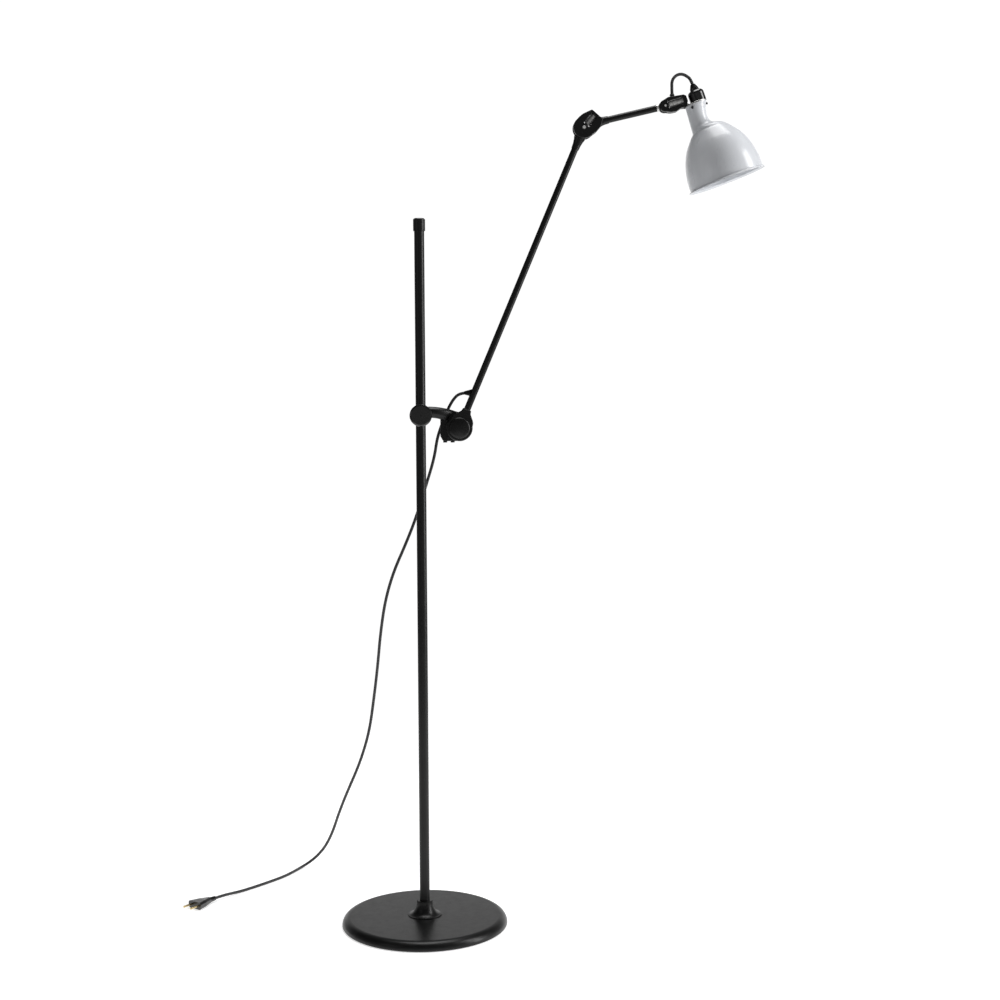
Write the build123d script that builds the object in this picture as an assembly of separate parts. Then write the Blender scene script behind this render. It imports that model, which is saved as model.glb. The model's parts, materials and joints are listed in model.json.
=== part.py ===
from build123d import *
import math
import os

# Adjustable arm floor lamp. Millimetres, +Z up. The origin is the centre of the base pad's
# underside, the pole stands on +Z, and the two arms lie in the XZ plane and reach towards +X.

# ---------------------------------------------------------------- driving dimensions
# base and pole
BASE_RADIUS = 150.0
BASE_BOTTOM = 1.0
BASE_TOP = 17.0
BASE_EDGE = 14.0
PAD_RADIUS = 140.0
PAD_THICKNESS = 2.0
POLE_RADIUS = 9.0
POLE_WALL = 1.5
POLE_BOTTOM = 20.0
POLE_TOP = 1250.0
COLLAR_TOP = 44.0
COLLAR_TOP_RADIUS = 14.0
COLLAR_FOOT_RADIUS = 30.5
CAP_RADIUS = 10.75
CAP_TOP = 1272.0
FOOT_BOLT_RADIUS = 4.0

# clamp on the pole
CLAMP_Z = 924.0
LINER_BORE = 9.05
LINER_RADIUS = 11.2
SLEEVE_BORE = 11.25
SLEEVE_RADIUS = 14.0
SLEEVE_HALF_HEIGHT = 14.0
KNOB_RADIUS = 19.8
KNOB_BACK = -21.0
STUD_RADIUS = 4.0

# arm pivot at the end of the clamp bracket
HUB_X = 69.0
HUB_Z = 901.0
HUB_RADIUS = 23.5
HUB_HALF = 7.0
WASHER_THICKNESS = 1.0
EYE_THICKNESS = 12.0

# arms and their joints
ARM_ANGLE = 67.1
ARM_LENGTH = 575.0
ARM_TUBE_RADIUS = 6.0
TUBE_WALL = 1.0
FORE_ANGLE = 13.2
FORE_OFFSET = 4.5
FORE_LENGTH = 149.7
FORE_TUBE_RADIUS = 5.9
ELBOW_CAGE_ANGLE = 49.0
ELBOW_RADIUS = 19.0
ELBOW_HALF = 11.0
ELBOW_PIN_RADIUS = 3.0
WRIST_CAGE_ANGLE = 17.0
WRIST_RADIUS = 10.5
WRIST_HALF = 9.5
WRIST_PIN_RADIUS = 2.0

# head: swivel branch, shade, lampholder and bulb
SWIVEL_FROM_WRIST_X = 38.2
SWIVEL_FROM_WRIST_Z = 1.0
SWIVEL_ANGLE = -18.6
SWIVEL_TO_SHADE_AXIS = 32.39
SWIVEL_HEIGHT_ON_SHADE = 128.3
SHADE_TILT = 20.0
BELL_RADIUS = 67.5
BELL_BASE = 8.0
BELL_HEIGHT = 98.0
BELL_ARC = 54.0
RIM_RADIUS = 70.8
NECK_TOP = 146.0
NECK_TOP_X = -7.5
SHADE_WALL = 1.0
HOLDER_RADIUS = 12.0
HOLDER_CAP_RADIUS = 14.5
HOLDER_CAP_X = -1.5
HOLDER_X = -4.0
HOLDER_LEAN = 11.0
HOLDER_CAP_TOP = 169.0
GRIP_TOP = 180.0
BULB_RADIUS = 21.0
BULB_CENTRE = 58.0

# fastenings and fits
BOTTOM = (Align.CENTER, Align.CENTER, Align.MIN)
RUNNING = 0.05
BOLT_SEAT = 9.5
BOLT_HEAD = 5.3
WASHER = 1.6
SPIGOT = 14.0
SET_SCREW_RADIUS = 2.0

# arm pivot, counted along Y from the arms' plane
PIVOT_RADIUS = 4.0
EYE_FRONT = HUB_HALF + WASHER_THICKNESS
EYE_BACK = EYE_FRONT + EYE_THICKNESS
EYE_MIDDLE = (EYE_FRONT + EYE_BACK) / 2
NUT_FRONT = EYE_BACK + 2.0
NUT_BACK = NUT_FRONT + 5.5
BLOCK_LEFT = 35.0
BLOCK_BOTTOM = HUB_Z - 23.5
BRACKET_SCREW_X = (43.5, 57.0)
LOCK_SCREW_X = 49.6
LOCK_SCREW_Z = HUB_Z - 17.8
STUD_DEPTH = 9.0

# long arm fittings, counted along the arm from the pivot
HUB_SOCKET_END = 36.0
NECK_LENGTH = 40.0
OUTLET_STATION = 68.0
OUTLET_NECK_RADIUS = 2.6
OUTLET_ROOT = 4.2
OUTLET_LENGTH = 18.5
OUTLET_YAW = 151.6

# elbow and wrist fittings
SOCKET_END = 46.0
ELBOW_TONGUE = 4.7
ELBOW_EYE = 6.2
ELBOW_BARREL = 5.8
ELBOW_WINDOW = (5.4, 28.0)
WRIST_TONGUE = 3.7
WRIST_EYE = 4.8
WRIST_BARREL = 6.5
WRIST_WINDOW = (4.8, 34.0)
FORE_TUBE_END = FORE_LENGTH - 15.5
RING_END = FORE_LENGTH - 11.2

# swivel and shade fittings
SWIVEL_FACE = -0.2
SWIVEL_BOSS_RADIUS = 5.6
SWIVEL_SCREW_RADIUS = 2.5
SWIVEL_SCREW_START = -3.8
LUG_RADIUS = 5.4
RING_RADIUS = 20.2
RING_TOP = 148.5
SKIRT_BOTTOM = 136.0
NECK_SCREW_ANGLES = (-2, -122, 118)
NECK_SCREW_HEIGHT = 140.5
NECK_SCREW_X = -8.9
NECK_SCREW_START = 19.8

# The top of the bell, as radius and height, and the neck that leans on it as an oblique funnel:
# the right-hand outline of the neck as reach and height, while its left-hand side is nearly straight.
DOME = ((36.6, 91.0), (31.6, 96.1), (27.0, 99.4), (20.0, 102.0), (10.0, 103.7), (0, 104.2))
DOME_INSIDE = ((35.7, 90.4), (30.8, 95.3), (26.3, 98.5), (19.7, 101.0), (10.0, 102.7), (0, 103.2))
NECK = (
    (12.5, NECK_TOP), (8.6, 138), (6.2, 131), (4.8, 124), (4.4, 118), (5.4, 112), (9.4, 107), (16.0, 104.2),
    (22.5, 102.2), (28.3, 99.2), (31.4, 95.0),
)
NECK_LEFT = -27.5
NECK_LEFT_LEAN = 0.06
NECK_SECTIONS = 18
CORD_EXIT = (450.6, 0.0, 1489.0)
CORD_EXIT_LEAN = -3.52

# cords and plug
CORD = 5.5
CORD_HOLE = CORD / 2 + 0.1
PLUG_LENGTH = 36.0
PLUG_FACE_WIDTH = 35.0
PLUG_FACE_HEIGHT = 13.6
PLUG_SLEEVE = 14.0
PIN_LENGTH = 19.0
PIN_SPACING = 18.6
PLUG_SPOT = (-408.36, 135.47, 7.2)
PLUG_YAW = 229.56

os.makedirs("parts", exist_ok=True)


# ---------------------------------------------------------------- helpers
def along(x, z, angle, y=0.0):
    """A place in the arms' plane whose local X points up the given angle from +X, and local Z to its left."""
    return Location((x, y, z), (0, -angle, 0))


def direction(angle):
    """The unit step along an angle in the arms' plane, as x and z."""
    return math.cos(math.radians(angle)), math.sin(math.radians(angle))


def slab(face, y_low, y_high):
    """A face drawn in the XZ plane, made into a plate from y_low to y_high."""
    return extrude(Pos(0, y_high, 0) * face, amount=y_high - y_low, dir=(0, -1, 0))


def disc_y(radius, y_low, y_high, x=0.0, z=0.0):
    """A round plate or bore whose axis runs along Y."""
    return slab(Plane.XZ * Pos(x, z) * Circle(radius), y_low, y_high)


def rod_x(radius, start, end, x_radius_end=None):
    """A round bar along local X, or a cone when it ends in another radius."""
    last = radius if x_radius_end is None else x_radius_end
    profile = Polygon((start, 0), (end, 0), (end, last), (start, radius), align=None)
    return revolve(Plane.XZ * profile, Axis.X)


def ring_x(outer, inner, start, end):
    """A round sleeve along local X."""
    profile = Polygon((start, inner), (end, inner), (end, outer), (start, outer), align=None)
    return revolve(Plane.XZ * profile, Axis.X)


def turned(points):
    """A solid of revolution about Z from (radius, height) corners."""
    return revolve(Plane.XZ * Polygon(*points, align=None), Axis.Z)


def outline(points, roundness):
    """A closed flat shape through corner points, with every corner rounded."""
    face = Polygon(*points, align=None)
    return fillet(face.vertices(), roundness)


def hexagon(across_flats, thickness):
    return extrude(RegularPolygon(across_flats / 2, 6, major_radius=False), amount=thickness)


def save(shape, node):
    export_step(shape, f"parts/{node}.step")


def place(piece, spot, node):
    save(spot * piece, node)


# ---------------------------------------------------------------- places worked out from the dimensions
arm_x, arm_z = direction(ARM_ANGLE)
fore_x, fore_z = direction(FORE_ANGLE)
swivel_x, swivel_z = direction(SWIVEL_ANGLE)
shade_x, shade_z = direction(90 + SHADE_TILT)

ELBOW_X = HUB_X + ARM_LENGTH * arm_x
ELBOW_Z = HUB_Z + ARM_LENGTH * arm_z
FORE_START_X = ELBOW_X - FORE_OFFSET * fore_z
FORE_START_Z = ELBOW_Z + FORE_OFFSET * fore_x
WRIST_X = FORE_START_X + FORE_LENGTH * fore_x
WRIST_Z = FORE_START_Z + FORE_LENGTH * fore_z
SWIVEL_X = WRIST_X + SWIVEL_FROM_WRIST_X
SWIVEL_Z = WRIST_Z + SWIVEL_FROM_WRIST_Z
RIM_X = SWIVEL_X + SWIVEL_TO_SHADE_AXIS * swivel_x - SWIVEL_HEIGHT_ON_SHADE * shade_x
RIM_Z = SWIVEL_Z + SWIVEL_TO_SHADE_AXIS * swivel_z - SWIVEL_HEIGHT_ON_SHADE * shade_z

at_hub = along(HUB_X, HUB_Z, ARM_ANGLE)
at_elbow_up_arm = along(ELBOW_X, ELBOW_Z, ARM_ANGLE)
at_elbow_cage = along(ELBOW_X, ELBOW_Z, ELBOW_CAGE_ANGLE)
at_forearm = along(FORE_START_X, FORE_START_Z, FORE_ANGLE)
at_wrist_cage = along(WRIST_X, WRIST_Z, WRIST_CAGE_ANGLE)
at_swivel = along(SWIVEL_X, SWIVEL_Z, SWIVEL_ANGLE)
at_shade = Location((RIM_X, 0, RIM_Z), (0, -SHADE_TILT, 0))
at_cap = at_shade * Pos(HOLDER_CAP_X, 0, 0)
at_holder = at_shade * Pos(HOLDER_X, 0, RING_TOP) * Rotation(0, HOLDER_LEAN, 0) * Pos(0, 0, -RING_TOP)
outlet_root = (HUB_X + OUTLET_STATION * arm_x, 0, HUB_Z + OUTLET_STATION * arm_z)
at_outlet = Location(outlet_root, (0, 0, OUTLET_YAW)) * Rotation(0, 90, 0)
at_cord_exit = Location(CORD_EXIT, (0, CORD_EXIT_LEAN, 0))
at_plug = Location(PLUG_SPOT, (0, 0, PLUG_YAW)) * Rotation(0, 90, 0) * Rotation(0, 0, 90)


# ---------------------------------------------------------------- base
def make_base():
    lip = BASE_BOTTOM + 1.5
    profile = make_face(
        Polyline((0, BASE_BOTTOM), (BASE_RADIUS - 1, BASE_BOTTOM), (BASE_RADIUS, lip))
        + EllipticalCenterArc((BASE_RADIUS - BASE_EDGE, lip), BASE_EDGE, BASE_TOP - lip)
        + Polyline((BASE_RADIUS - BASE_EDGE, BASE_TOP), (0, BASE_TOP), (0, BASE_BOTTOM))
    )
    disc = revolve(Plane.XZ * profile, Axis.Z)
    disc -= Pos(0, 0, BASE_BOTTOM) * Cylinder(PAD_RADIUS + 0.5, PAD_THICKNESS - BASE_BOTTOM, align=BOTTOM)
    disc -= Cylinder(FOOT_BOLT_RADIUS + 0.3, BASE_TOP + 1, align=BOTTOM)
    disc -= Cylinder(12.0, BOLT_SEAT, align=BOTTOM)
    save(disc, "base_disc")

    pad = Cylinder(PAD_RADIUS, PAD_THICKNESS, align=BOTTOM) - Cylinder(14.0, PAD_THICKNESS, align=BOTTOM)
    save(pad, "base_pad")

    washer = Cylinder(8.0, WASHER, align=BOTTOM) - Cylinder(FOOT_BOLT_RADIUS + 0.3, WASHER, align=BOTTOM)
    save(Pos(0, 0, BOLT_SEAT - WASHER) * washer, "foot_washer")

    head_bottom = BOLT_SEAT - WASHER - BOLT_HEAD
    bolt = hexagon(13.0, BOLT_HEAD) + Cylinder(FOOT_BOLT_RADIUS, 36.0, align=BOTTOM)
    save(Pos(0, 0, head_bottom) * bolt, "foot_bolt")


def make_foot_collar():
    sweep_x = COLLAR_FOOT_RADIUS - COLLAR_TOP_RADIUS
    foot = BASE_TOP + 1.2
    profile = make_face(
        Polyline((0, BASE_TOP), (COLLAR_FOOT_RADIUS, BASE_TOP), (COLLAR_FOOT_RADIUS, foot))
        + EllipticalCenterArc((COLLAR_FOOT_RADIUS, COLLAR_TOP), sweep_x, COLLAR_TOP - foot, 180)
        + Polyline((COLLAR_TOP_RADIUS, COLLAR_TOP), (0, COLLAR_TOP), (0, BASE_TOP))
    )
    collar = revolve(Plane.XZ * profile, Axis.Z)
    collar -= Pos(0, 0, POLE_BOTTOM) * Cylinder(POLE_RADIUS, COLLAR_TOP, align=BOTTOM)
    collar -= Pos(0, 0, BASE_TOP) * Cylinder(FOOT_BOLT_RADIUS + 0.3, 10, align=BOTTOM)
    save(collar, "foot_collar")


def make_pole():
    bore = POLE_RADIUS - POLE_WALL
    length = POLE_TOP - POLE_BOTTOM
    tube = Cylinder(POLE_RADIUS, length, align=BOTTOM) - Cylinder(bore, length, align=BOTTOM)
    save(Pos(0, 0, POLE_BOTTOM) * tube, "pole")

    plug = Cylinder(bore, 24.0, align=BOTTOM) - Cylinder(FOOT_BOLT_RADIUS, 24.0, align=BOTTOM)
    save(Pos(0, 0, POLE_BOTTOM) * plug, "pole_thread_plug")

    spigot_bottom = POLE_TOP - 14
    cap = turned([
        (0, spigot_bottom), (bore, spigot_bottom), (bore, POLE_TOP), (CAP_RADIUS, POLE_TOP),
        (CAP_RADIUS, CAP_TOP - 2.0), (CAP_RADIUS - 2.0, CAP_TOP), (0, CAP_TOP),
    ])
    save(cap, "pole_cap")


# ---------------------------------------------------------------- clamp and its bracket
def hub_shoulders(grow):
    """The arm hub's shoulders, which run from its disc into the socket, seen from the side and grown."""
    side = [(0, 19.0), (6, 21.6), (17, 19.5), (22, 16.2), (26.8, 11.7), (30.4, 8.9), (HUB_SOCKET_END, 7.5)]
    upper = [(x + grow, z + grow) for x, z in side]
    lower = [(x, -z) for x, z in reversed(upper)]
    return Polygon(*upper, *lower, align=None)


def make_clamp_bracket():
    sleeve = fillet(Cylinder(SLEEVE_RADIUS, 2 * SLEEVE_HALF_HEIGHT).edges(), 1.2)
    body = Pos(0, 0, CLAMP_Z) * sleeve
    body += disc_y(10.0, KNOB_BACK + 0.5, 0, 0, CLAMP_Z)
    sections = [
        Plane((6, 0, CLAMP_Z + 5.0), x_dir=(0, 1, 0), z_dir=(1, 0, 0)) * Circle(10.6),
        Plane((34, 4, CLAMP_Z + 3.6), x_dir=(0, 1, 0), z_dir=(1, 0, -0.12)) * Circle(10.4),
        Plane((60, 13.8, CLAMP_Z - 6.0), x_dir=(0, 1, 0), z_dir=(1, 0, -0.35)) * Ellipse(6.0, 13.2),
    ]
    body += loft(sections)
    plate = disc_y(HUB_RADIUS, EYE_FRONT, EYE_BACK, HUB_X, HUB_Z)
    block = [
        (BLOCK_LEFT, HUB_Z + 24), (BLOCK_LEFT, HUB_Z - 15), (BLOCK_LEFT + 5, BLOCK_BOTTOM), (HUB_X, BLOCK_BOTTOM),
        (HUB_X + 15, HUB_Z + 18), (HUB_X, HUB_Z + 28.5), (HUB_X - 14, HUB_Z + 31.5),
    ]
    plate += slab(Plane.XZ * outline(block, 3.0), EYE_FRONT, EYE_BACK)
    body += fillet(plate.faces().filter_by(Axis.Y).edges(), 1.6)
    body -= disc_y(HUB_RADIUS + 0.6, -15, EYE_FRONT, HUB_X, HUB_Z)
    for swing in range(-2, 20, 7):
        body -= along(HUB_X, HUB_Z, ARM_ANGLE + swing) * slab(Plane.XZ * hub_shoulders(0.7), -15, EYE_FRONT)
    body -= Pos(0, 0, CLAMP_Z) * Cylinder(SLEEVE_BORE, 60)
    body -= Pos(0, 0, CLAMP_Z + SLEEVE_HALF_HEIGHT) * Cylinder(SLEEVE_RADIUS, 8, align=BOTTOM)
    body -= disc_y(STUD_RADIUS + RUNNING, -40, 0, 0, CLAMP_Z)
    body -= disc_y(PIVOT_RADIUS + RUNNING, 0, 40, HUB_X, HUB_Z)
    for x in BRACKET_SCREW_X:
        body -= Pos(x, EYE_MIDDLE, BLOCK_BOTTOM - 1) * Cylinder(2.0, 15.0, align=BOTTOM)
    body -= disc_y(2.0, EYE_FRONT - 1, EYE_FRONT + 3.2, LOCK_SCREW_X, LOCK_SCREW_Z)
    save(body, "clamp_bracket")


def make_clamp_fittings():
    flange = SLEEVE_RADIUS - 1
    end = SLEEVE_HALF_HEIGHT + 1
    inside = SLEEVE_HALF_HEIGHT
    liner = turned([
        (LINER_BORE, -end), (flange, -end), (flange, -inside), (LINER_RADIUS, -inside),
        (LINER_RADIUS, inside), (flange, inside), (flange, end), (LINER_BORE, end),
    ])
    slit = Pos(-(LINER_BORE + 2.0), 0, 0) * Box(8.0, 1.5, 40.0)
    save(Pos(0, 0, CLAMP_Z) * (liner - slit), "clamp_liner")

    knob = turned([
        (0, 0), (17.2, 0), (19.0, 0.8), (KNOB_RADIUS, 2.6), (KNOB_RADIUS, 9.6),
        (18.6, 11.8), (16.5, 12.6), (0, 13.0),
    ])
    knob -= Cylinder(STUD_RADIUS, STUD_DEPTH, align=BOTTOM)
    save(Location((0, KNOB_BACK, CLAMP_Z), (90, 0, 0)) * knob, "clamp_knob")
    save(disc_y(STUD_RADIUS, KNOB_BACK - STUD_DEPTH, -13.6, 0, CLAMP_Z), "knob_stud")
    save(disc_y(3.6, -13.5, -LINER_RADIUS - 0.3, 0, CLAMP_Z), "clamp_shoe")

    screw = Cylinder(2.0, 14.0, align=BOTTOM)
    screw += fillet(Cylinder(3.8, 2.6, align=(Align.CENTER, Align.CENTER, Align.MAX)).edges(), 0.9)
    screws = [Pos(x, EYE_MIDDLE, BLOCK_BOTTOM) * screw for x in BRACKET_SCREW_X]
    save(Compound(screws), "bracket_screws")
    lock = disc_y(2.0, EYE_FRONT - 1.4, EYE_FRONT + 3.2, LOCK_SCREW_X, LOCK_SCREW_Z)
    save(lock, "pivot_lock_screw")


# ---------------------------------------------------------------- long arm
def make_arm_hub():
    disc = disc_y(HUB_RADIUS, -HUB_HALF, HUB_HALF)
    shoulders = slab(Plane.XZ * hub_shoulders(0), -HUB_HALF, HUB_HALF)
    hub = fillet(disc.edges(), 2.6) + chamfer(shoulders.faces().filter_by(Axis.Y).edges(), 1.2)
    hub += rod_x(ARM_TUBE_RADIUS - TUBE_WALL, HUB_SOCKET_END, HUB_SOCKET_END + SPIGOT)
    hub -= disc_y(PIVOT_RADIUS, -HUB_HALF - 1, HUB_HALF + 1)
    place(hub, at_hub, "arm_hub")

    dome = Spline((19.0, 1.0), (13.0, 4.3), (0, 6.2), tangents=((-0.5, 1), (-1, 0)))
    cover = revolve(Plane.XZ * make_face(dome + Polyline((0, 6.2), (0, 0), (19.0, 0), (19.0, 1.0))), Axis.Z)
    save(Location((HUB_X, -HUB_HALF, HUB_Z), (90, 0, 0)) * cover, "pivot_cover")
    save(disc_y(PIVOT_RADIUS, -HUB_HALF, NUT_BACK + 1.5, HUB_X, HUB_Z), "pivot_bolt")

    friction = disc_y(20.0, HUB_HALF, EYE_FRONT - RUNNING, HUB_X, HUB_Z)
    friction -= disc_y(PIVOT_RADIUS + RUNNING, HUB_HALF, EYE_FRONT, HUB_X, HUB_Z)
    save(friction, "pivot_friction_disc")
    spring = Cone(8.5, 6.0, NUT_FRONT - EYE_BACK, align=BOTTOM)
    spring -= Cylinder(PIVOT_RADIUS + 0.2, NUT_FRONT - EYE_BACK, align=BOTTOM)
    save(Location((HUB_X, EYE_BACK, HUB_Z), (-90, 0, 0)) * spring, "pivot_spring_washer")
    nut = hexagon(13.0, NUT_BACK - NUT_FRONT) - Cylinder(PIVOT_RADIUS, 20)
    save(Location((HUB_X, NUT_FRONT, HUB_Z), (-90, 0, 0)) * nut, "pivot_nut")


def make_long_arm():
    tube = ring_x(ARM_TUBE_RADIUS, ARM_TUBE_RADIUS - TUBE_WALL, HUB_SOCKET_END, ARM_LENGTH - NECK_LENGTH)
    outlet_hole = at_outlet * Cylinder(OUTLET_NECK_RADIUS, 9.0, align=BOTTOM)
    save(at_hub * tube - outlet_hole, "long_arm_tube")

    cone = Cone(6.6, CORD / 2 + 0.6, OUTLET_LENGTH - OUTLET_ROOT, align=BOTTOM)
    outlet = at_outlet * Pos(0, 0, OUTLET_ROOT) * cone
    outlet -= at_hub * rod_x(ARM_TUBE_RADIUS, HUB_SOCKET_END, ARM_LENGTH - NECK_LENGTH)
    outlet += at_outlet * Pos(0, 0, OUTLET_ROOT - 0.6) * Cylinder(OUTLET_NECK_RADIUS, 4.0, align=BOTTOM)
    outlet -= at_outlet * Pos(0, 0, OUTLET_LENGTH - 6) * Cylinder(CORD_HOLE, 6.0, align=BOTTOM)
    save(outlet, "cord_outlet")

    inner = rod_x(2.2, HUB_SOCKET_END + SPIGOT + 6, ARM_LENGTH - NECK_LENGTH - SPIGOT - 2)
    place(inner, at_hub, "arm_inner_cord")

    neck_profile = [
        (-NECK_LENGTH, 0), (0, 0), (0, 10.2), (-19.4, 10.2), (-24, 8.8), (-31, 7.4), (-NECK_LENGTH, 6.8),
    ]
    neck = revolve(Plane.XZ * Polygon(*neck_profile, align=None), Axis.X)
    neck -= disc_y(ELBOW_RADIUS + 0.4, -20, 20)
    tongue = slab(Plane.XZ * Pos(-14, 0) * Rectangle(28, 12.4), -ELBOW_TONGUE, ELBOW_TONGUE)
    tongue += disc_y(ELBOW_EYE, -ELBOW_TONGUE, ELBOW_TONGUE)
    tongue -= disc_y(ELBOW_PIN_RADIUS + RUNNING, -20, 20)
    neck += tongue + rod_x(ARM_TUBE_RADIUS - TUBE_WALL, -NECK_LENGTH - SPIGOT, -NECK_LENGTH)
    place(neck, at_elbow_up_arm, "elbow_tongue")


# ---------------------------------------------------------------- elbow cage and forearm
def make_elbow():
    shape = Polygon(
        (-1, 18.9), (9, 18.6), (17, 17.1), (25, 13.6), (33, 9.8), (33, -16),
        (21, -21.4), (9, -21.4), (-1, -18.9), align=None,
    )
    outer = [v for v in shape.vertices() if v.X > 5]
    block = disc_y(ELBOW_RADIUS, -ELBOW_HALF, ELBOW_HALF)
    block += slab(Plane.XZ * fillet(outer, 3.0), -ELBOW_HALF, ELBOW_HALF)
    block = fillet(block.faces().filter_by(Axis.Y).edges(), 1.8)
    cage = at_elbow_cage * block
    socket = [(10, 0), (10, 15), (20, 15), (24, 13), (28.5, 10), (33, 8.2), (38, 7.2), (SOCKET_END, 6.8), (SOCKET_END, 0)]
    horn = revolve(Plane.XZ * Polygon(*socket, align=None), Axis.X)
    horn &= Pos(30, 0, 0) * Box(80, 2 * ELBOW_HALF - 0.6, 60)
    cage += at_forearm * horn
    cage += at_forearm * rod_x(FORE_TUBE_RADIUS - TUBE_WALL, SOCKET_END, SOCKET_END + SPIGOT)
    window = Plane.XZ * Pos((ELBOW_WINDOW[0] + ELBOW_WINDOW[1]) / 2, 0) * RectangleRounded(
        ELBOW_WINDOW[1] - ELBOW_WINDOW[0], 2 * ELBOW_BARREL + 0.7, 0.4)
    cage -= at_elbow_cage * slab(window, -20, 20)
    cage -= at_elbow_cage * disc_y(ELBOW_RADIUS + 0.6, -ELBOW_TONGUE - 0.3, ELBOW_TONGUE + 0.3)
    cage -= at_elbow_cage * disc_y(ELBOW_PIN_RADIUS, -20, 20)
    cage -= at_elbow_cage * rod_x(SET_SCREW_RADIUS, ELBOW_WINDOW[1] - 1, ELBOW_WINDOW[1] + 8)
    save(cage, "elbow_cage")

    end = ELBOW_WINDOW[1] - 0.1
    nose = ELBOW_EYE + 0.3
    barrel = revolve(Plane.XZ * make_face(
        Spline((nose, 0), (nose + 1.4, 3.9), (nose + 4.2, ELBOW_BARREL), tangents=((0, 1), (1, 0)))
        + Polyline(
            (nose + 4.2, ELBOW_BARREL), (nose + 6.4, ELBOW_BARREL), (nose + 6.7, ELBOW_BARREL - 0.8),
            (nose + 7.3, ELBOW_BARREL - 0.8), (nose + 7.6, ELBOW_BARREL), (end, ELBOW_BARREL),
            (end, 0), (nose, 0),
        )
    ), Axis.X)
    barrel -= rod_x(SET_SCREW_RADIUS, end - 8, end)
    place(barrel, at_elbow_cage, "elbow_barrel")
    place(rod_x(SET_SCREW_RADIUS, end - 8, end + 5.2), at_elbow_cage, "elbow_set_screw")
    place(disc_y(ELBOW_PIN_RADIUS, -ELBOW_HALF - 0.4, ELBOW_HALF + 0.4), at_elbow_cage, "elbow_pin")


def make_forearm():
    tube = ring_x(FORE_TUBE_RADIUS, FORE_TUBE_RADIUS - TUBE_WALL, SOCKET_END, FORE_TUBE_END)
    place(tube, at_forearm, "forearm_tube")
    inner = rod_x(2.2, SOCKET_END + SPIGOT + 3, FORE_TUBE_END - SPIGOT - 3)
    place(inner, at_forearm, "forearm_inner_cord")
    ring = ring_x(6.7, FORE_TUBE_RADIUS - TUBE_WALL, FORE_TUBE_END, RING_END)
    place(fillet(ring.edges().filter_by(GeomType.CIRCLE).sort_by(SortBy.RADIUS)[-2:], 0.6), at_forearm, "wrist_ring")
    tongue = rod_x(FORE_TUBE_RADIUS - TUBE_WALL, FORE_TUBE_END - SPIGOT, RING_END)
    plate = slab(
        Plane.XZ * Pos((RING_END + FORE_LENGTH) / 2, 0) * Rectangle(FORE_LENGTH - RING_END, 2 * WRIST_EYE),
        -WRIST_TONGUE, WRIST_TONGUE)
    plate += disc_y(WRIST_EYE, -WRIST_TONGUE, WRIST_TONGUE, FORE_LENGTH, 0)
    plate -= disc_y(WRIST_PIN_RADIUS + RUNNING, -20, 20, FORE_LENGTH, 0)
    place(tongue + plate, at_forearm, "wrist_tongue")


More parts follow.
